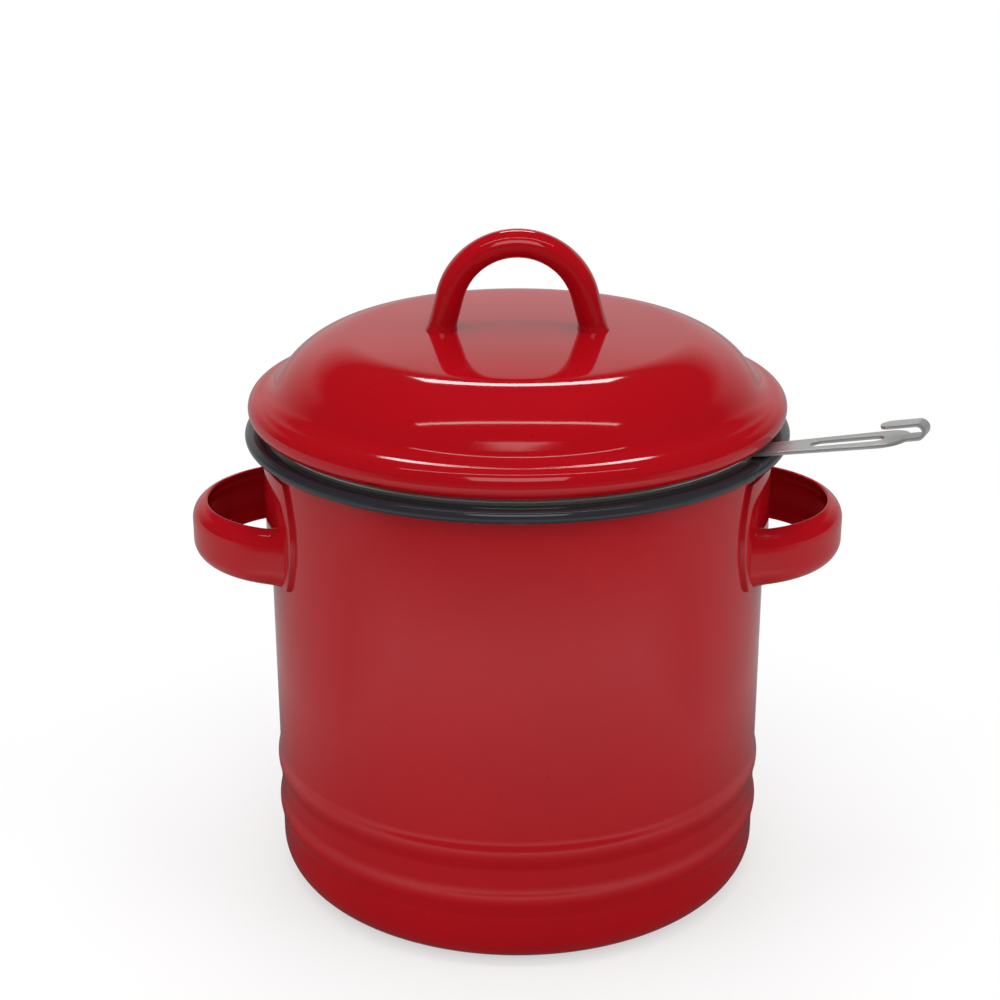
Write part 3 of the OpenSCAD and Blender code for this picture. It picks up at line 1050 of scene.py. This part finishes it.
@dataclass
class LidAssembly:
    """Domed lid with its rolled bead, the skirt under it, and the arched handle on its crown."""

    finishes: Finishes
    sheet: float = 0.9
    seat: float = 125.6
    radius: float = 69.0
    bead: float = 3.8
    bead_end: float = 82.0
    flank: float = 54.0
    flank_length: float = 2.0
    valley: float = 6.5
    shoulder: float = 24.0
    crown_slope: float = 2.5
    seat_radius: float = 60.55
    skirt_radius: float = 60.4
    skirt_sheet: float = 0.8
    skirt_height: float = 13.0
    skirt_flange: float = 2.6
    arch_height: float = 25.5
    arch_radius: float = 17.6
    arch_thick: float = 7.2
    arch_wide: float = 9.0
    arch_splay: float = 15.0
    leg_steps: int = 16

    def corners(self) -> dict[str, tuple[float, float]]:
        """Works out the arcs of the dome, each of which runs on from the last.

        Returns:
            The centre of each arc by name, and the crown's radius and height.
        """
        def lean(angle: float) -> tuple[float, float]:
            """Gives the sine and cosine of an angle in degrees."""
            return math.sin(math.radians(angle)), math.cos(math.radians(angle))

        bead_x = self.radius - self.bead
        start = 90.0 - self.bead_end
        (sin_a, cos_a), (sin_b, cos_b) = lean(start), lean(self.flank)
        sin_c, cos_c = lean(self.crown_slope)
        valley = (
            bead_x + (self.bead + self.valley) * sin_a,
            self.bead + (self.bead + self.valley) * cos_a)
        flank = (
            valley[0] - self.valley * sin_b - self.flank_length * cos_b,
            valley[1] - self.valley * cos_b + self.flank_length * sin_b)
        shoulder = (flank[0] - self.shoulder * sin_b, flank[1] - self.shoulder * cos_b)
        edge = (shoulder[0] + self.shoulder * sin_c, shoulder[1] + self.shoulder * cos_c)
        ball = edge[0] / sin_c
        return {
            "bead": (bead_x, self.seat + self.bead),
            "valley": (valley[0], self.seat + valley[1]),
            "shoulder": (shoulder[0], self.seat + shoulder[1]),
            "ball": (0.0, self.seat + edge[1] - ball * cos_c),
            "crown": (ball, self.seat + edge[1] + ball * (1.0 - cos_c))}

    def build_shell(self) -> None:
        """Builds the domed sheet: crown, shoulder, hollow and rolled bead."""
        spots = self.corners()
        turns = (
            ("bead", 90.0 + self.bead_end, 40),
            ("valley", 90.0 - self.bead_end - self.flank, 10),
            ("shoulder", self.flank - self.crown_slope, 26),
            ("ball", self.crown_slope, 14))
        slope = math.radians(self.flank)
        run = (self.flank_length * math.cos(slope), self.flank_length * math.sin(slope))
        pen = Outline(0.0, spots["crown"][1] - self.sheet)
        for name, turn, steps in reversed(turns):
            if name == "valley":
                pen.step(run[0], -run[1])
            pen.arc(*spots[name], -turn, steps)
        edge = self.sheet / 2
        pen.line(self.seat_radius + edge, self.seat + self.sheet, 2)
        pen.arc(self.seat_radius + edge, self.seat + edge, 180.0, 6)
        pen.line(spots["bead"][0], self.seat, 2)
        for name, turn, steps in turns:
            if name == "shoulder":
                pen.step(-run[0], run[1])
            pen.arc(*spots[name], turn, steps)
        mesh = pen.revolve()
        paint(mesh, self.is_red)
        add_piece("lid_dome", mesh, self.finishes.enamels, Body.LID, Slot.LID, "lid_shell")

    def is_red(self, face: BMFace) -> bool:
        """Tells the dome's red outside from its black inside.

        Args:
            face: A face of the shell.

        Returns:
            Whether the face lies on the outer side.
        """
        bead_x, core_z = self.corners()["bead"]
        middle = face.calc_center_median() / MM
        core = middle.xy * min(bead_x / middle.xy.length, 1.0)
        return face.normal.dot(middle - Vector((core.x, core.y, core_z))) > 0.0

    def build_skirt(self) -> None:
        """Builds the skirt: a ring whose turned-out flange lies inside the lid's seat."""
        low, top = self.seat - self.skirt_height, self.seat + self.sheet
        inner, outer = self.skirt_radius - self.skirt_sheet, self.skirt_radius
        edge = self.skirt_sheet / 2
        pen = Outline(inner, low + edge).arc(inner + edge, low + edge, 180.0, 8)
        pen.line(outer, top, 8).line(outer + self.skirt_flange, top)
        pen.line(outer + self.skirt_flange, top + self.skirt_sheet)
        pen.line(outer, top + self.skirt_sheet).arc(outer, top, 90.0, 5).close()

        def is_outer(face: BMFace) -> bool:
            """Says whether a face lies on the skirt's outer side."""
            middle = face.calc_center_median() / MM
            return math.hypot(middle.x, middle.y) > inner + edge and middle.z < top + edge

        mesh = pen.revolve()
        paint(mesh, is_outer)
        add_piece(
            "lid_skirt_ring", mesh, self.finishes.enamels, Body.LID, Slot.LID, "lid_skirt")

    def above_crown(self, place: Vector) -> float:
        """Gives the height in millimetres of a place above the crown's outer side."""
        ball, top = self.corners()["crown"]
        return place.z / MM - top + (place.xy.length / MM) ** 2 / (2 * ball)

    def grow_leg(self, mesh: BMesh, ring: list[BMEdge], run: Vector) -> None:
        """Draws one end of the arch down to the crown.

        Args:
            mesh: The arch.
            ring: Edges of the open end.
            run: Direction in which the leg goes.
        """
        for left in range(self.leg_steps, 0, -1):
            grown = bmesh.ops.extrude_edge_only(mesh, edges=ring)["geom"]
            ring = pick(BMEdge, grown)
            for vert in pick(BMVert, grown):
                length = (self.above_crown(vert.co) + self.sheet / 2) / -run.z
                vert.co += run * (length * MM / left)

    def build_arch(self) -> None:
        """Builds the arched handle: an oval section swept over the crown and down to it."""
        mesh = bmesh.new()
        bmesh.ops.create_circle(mesh, cap_ends=False, segments=48, radius=MM)
        bmesh.ops.scale(
            mesh, vec=(self.arch_thick / 2, self.arch_wide / 2, 1.0), verts=mesh.verts[:])
        shift(mesh, x=self.arch_radius)
        splay = math.radians(self.arch_splay)
        rotate(mesh, -self.arch_splay, "Y")
        middle = (
            self.corners()["crown"][1] + self.arch_height - self.arch_thick / 2
            - self.arch_radius)
        shift(mesh, z=middle)
        last = pick(BMEdge, sweep(mesh, (0.0, -1.0, 0.0), math.pi - 2 * splay, 72, middle))
        first = [edge for edge in mesh.edges if edge.is_boundary and edge not in last]
        for ring, side in ((first, 1.0), (last, -1.0)):
            self.grow_leg(mesh, ring, Vector((side * math.sin(splay), 0.0, -math.cos(splay))))
        cap_holes(mesh)
        tidy(mesh)
        flare(
            mesh, self.above_crown, lambda place: Vector(UP), reach=1.8, swell=0.5)
        add_piece(
            "arched_lid_handle", mesh, (self.finishes.red,), Body.LID, Slot.LOOPS, "lid_handle")

    def build(self) -> None:
        """Builds the dome, the skirt and the arch."""
        self.build_shell()
        self.build_skirt()
        self.build_arch()


# ---------------- studio


@dataclass
class Lamp:
    """Soft rectangular lamp.

    Attributes:
        name: Name of the lamp.
        place: Its place in metres.
        aim: The point that it looks at, in metres.
        size: Its width and height in metres.
        power: Its power in watts.
        mirrored: Whether reflections show it.
    """

    name: str
    place: Place
    aim: Place
    size: tuple[float, float]
    power: float
    mirrored: bool = True

    def hang(self) -> None:
        """Adds the lamp to the scene."""
        data = bpy.data.lights.new(self.name, "AREA")
        data.shape = "RECTANGLE"
        data.size, data.size_y = self.size
        data.energy = self.power
        lamp = bpy.data.objects.new(self.name, data)
        run = Vector(self.aim) - Vector(self.place)
        lamp.matrix_world = (
            Matrix.Translation(self.place) @ run.to_track_quat("-Z", "Y").to_matrix().to_4x4())
        lamp.visible_glossy = self.mirrored
        bpy.context.scene.collection.objects.link(lamp)


@dataclass
class Studio:
    """Pale floor and walls, which reflections show dimmer, the floor as a painted reflection with
    painted shadow, soft lamps, and the camera.

    Attributes:
        camera_place: Place of the camera in metres.
        camera_drop: Angle in degrees by which it looks down.
        camera_lens: Its focal length in millimetres.
        camera_shift: Its shift sideways, as a share of the picture.
        floor_radius: Radius of the floor in metres.
        ambient: Level of the room's even light on matt surfaces.
        lamps: The lamps.
    """

    camera_place: Place = (0.0, -0.506, 0.2873)
    camera_drop: float = 20.17
    camera_lens: float = 73.98
    camera_shift: float = -0.0175
    floor_radius: float = 5.0
    ambient: float = 0.6
    lamps: tuple[Lamp, ...] = (
        Lamp("front_softbox", (0.0, -1.45, 1.45), (0.0, 0.0, 0.08), (1.2, 0.8), 7.0),
        Lamp("top_strip", (0.0, -0.28, 1.25), (0.0, 0.0, 0.1), (1.5, 0.05), 1.4),
        Lamp("back_strip", (0.0, 1.0, 1.02), (0.0, 0.0, 0.16), (0.5, 0.14), 1.7),
        Lamp("overhead_softbox", (0.0, 0.1, 1.6), (0.0, 0.0, 0.1), (1.2, 1.2), 9.0, False),
        Lamp("left_softbox", (-1.4, -0.5, 1.0), (0.0, 0.0, 0.08), (1.2, 1.0), 6.0, False),
        Lamp("right_softbox", (1.4, -0.5, 1.0), (0.0, 0.0, 0.08), (1.2, 1.0), 6.0, False),
    )

    def depth(self, wiring: Wiring, place: Socket) -> Socket:
        """Measures how far round the keeper a place or direction lies.

        Args:
            wiring: The material's wiring.
            place: The place or direction.

        Returns:
            A value from -1 right in front to 1 right behind.
        """
        x, y, _ = wiring.split(place)
        flat = wiring.add("ShaderNodeCombineXYZ", {0: x, 1: y}).outputs[0]
        facing = wiring.add("ShaderNodeVectorMath", {0: flat}, operation="NORMALIZE").outputs[0]
        return wiring.split(facing)[1]

    def painted_floor_reflection(self, wiring: Wiring, place: Socket) -> Socket:
        """Paints the floor that only reflections show, a painted reflection: painted shadow dark
        near the pot, and painted shade far in front and dimmer at the sides.

        Args:
            wiring: The floor's wiring.
            place: A place on the floor.

        Returns:
            The brightness at that place.
        """
        away, depth = wiring.length(place), self.depth(wiring, place)
        # Painted shadow in reflections: the floor shows dark close to the pot.
        near = wiring.span(away, 0.08, 0.23, 0.07, 0.7)
        # Painted shade in reflections: the floor shows dark far in front, and dimmer at the sides.
        front = wiring.math(
            "MULTIPLY", wiring.span(depth, -0.65, -0.3, 1.0, 0.0),
            wiring.span(away, 0.25, 0.38, 0.7, 0.12))
        sides = wiring.span(depth, -0.65, -0.3, 0.0, 0.4)
        return wiring.math("MINIMUM", near, wiring.math("ADD", front, sides))

    def wall_level(self, wiring: Wiring, facing: Socket) -> Socket:
        """Gives how bright reflections show the walls: pale behind, dark overhead and in front."""
        return wiring.math(
            "MINIMUM", wiring.span(wiring.split(facing)[2], 0.3, 0.5, 0.55, 0.03),
            wiring.span(self.depth(wiring, facing), 0.45, 0.93, 0.04, 0.54))

    def lay_floor(self) -> None:
        """Lays the floor, which shows white to the camera, keeps the keeper's shadow, and shows
        reflections a painted reflection with painted shadow instead of its lit surface.
        """
        mesh = bmesh.new()
        bmesh.ops.create_circle(mesh, cap_ends=True, segments=96, radius=self.floor_radius)
        data = bpy.data.meshes.new("studio_floor")
        mesh.to_mesh(data)
        mesh.free()
        wiring = MaterialWiring("pale_floor")
        tone = wiring.blend(
            wiring.noise(wiring.place, 3.0), (0.84, 0.84, 0.84), (0.82, 0.82, 0.82))
        matt = wiring.add("ShaderNodeBsdfDiffuse", {"Color": tone})
        path = wiring.add("ShaderNodeLightPath").outputs
        white = wiring.add("ShaderNodeEmission", {"Strength": 1.0})
        # Painted reflection: glossy rays see this emission, with its painted shadow and shade,
        # instead of the lit floor.
        painted_reflection = wiring.add(
            "ShaderNodeEmission", {"Strength": self.painted_floor_reflection(wiring, wiring.place)})
        plain = wiring.math(
            "MULTIPLY", wiring.span(wiring.length(wiring.place), 0.12, 0.4, 0.55, 1.0),
            path["Is Camera Ray"])
        shown = wiring.add(
            "ShaderNodeMixShader", {0: plain, 1: matt.outputs[0], 2: white.outputs[0]})
        data.materials.append(wiring.finish(wiring.add(
            "ShaderNodeMixShader",
            {0: path["Is Glossy Ray"], 1: shown.outputs[0], 2: painted_reflection.outputs[0]})))
        floor = bpy.data.objects.new("studio_floor", data)
        bpy.context.scene.collection.objects.link(floor)

    def light(self) -> None:
        """Hangs the lamps and sets the world: white to the camera, dimmer in reflections."""
        for lamp in self.lamps:
            lamp.hang()
        world = bpy.data.worlds.new("studio_walls")
        bpy.context.scene.world = world
        world.use_nodes = True
        world.node_tree.nodes.clear()
        wiring = Wiring(world.node_tree)
        facing = wiring.add("ShaderNodeTexCoord").outputs["Generated"]
        path = wiring.add("ShaderNodeLightPath").outputs
        level = wiring.blend(path["Is Glossy Ray"], (self.ambient,) * 3, (0.0, 0.0, 0.0))
        level = wiring.math(
            "ADD", level,
            wiring.math("MULTIPLY", path["Is Glossy Ray"], self.wall_level(wiring, facing)))
        level = wiring.math("MAXIMUM", level, path["Is Camera Ray"])
        back = wiring.add(
            "ShaderNodeBackground", {"Color": (1.0, 1.0, 1.0, 1.0), "Strength": level})
        wiring.add("ShaderNodeOutputWorld", {"Surface": back.outputs[0]})

    def set_camera(self) -> None:
        """Sets the camera at the photograph's viewing angle."""
        data = bpy.data.cameras.new("studio_camera")
        data.sensor_width = 36.0
        data.lens = self.camera_lens
        data.shift_x = self.camera_shift
        camera = bpy.data.objects.new("studio_camera", data)
        camera.location = self.camera_place
        camera.rotation_euler = (math.radians(90.0 - self.camera_drop), 0.0, 0.0)
        bpy.context.scene.collection.objects.link(camera)
        bpy.context.scene.camera = camera

    def build(self) -> None:
        """Sets the camera, the floor and the light."""
        self.set_camera()
        self.lay_floor()
        self.light()
        bpy.context.scene.view_settings.view_transform = "Standard"


def main() -> None:
    """Builds the studio and the keeper, and reports each piece."""
    logging.basicConfig(level=logging.INFO, format="%(name)s %(message)s")
    Studio().build()
    finishes = Finishes()
    for assembly in (PotAssembly(finishes), StrainerAssembly(finishes), LidAssembly(finishes)):
        assembly.build()
        LOG.info("%s built", type(assembly).__name__)


if __name__ == "__main__":
    main()
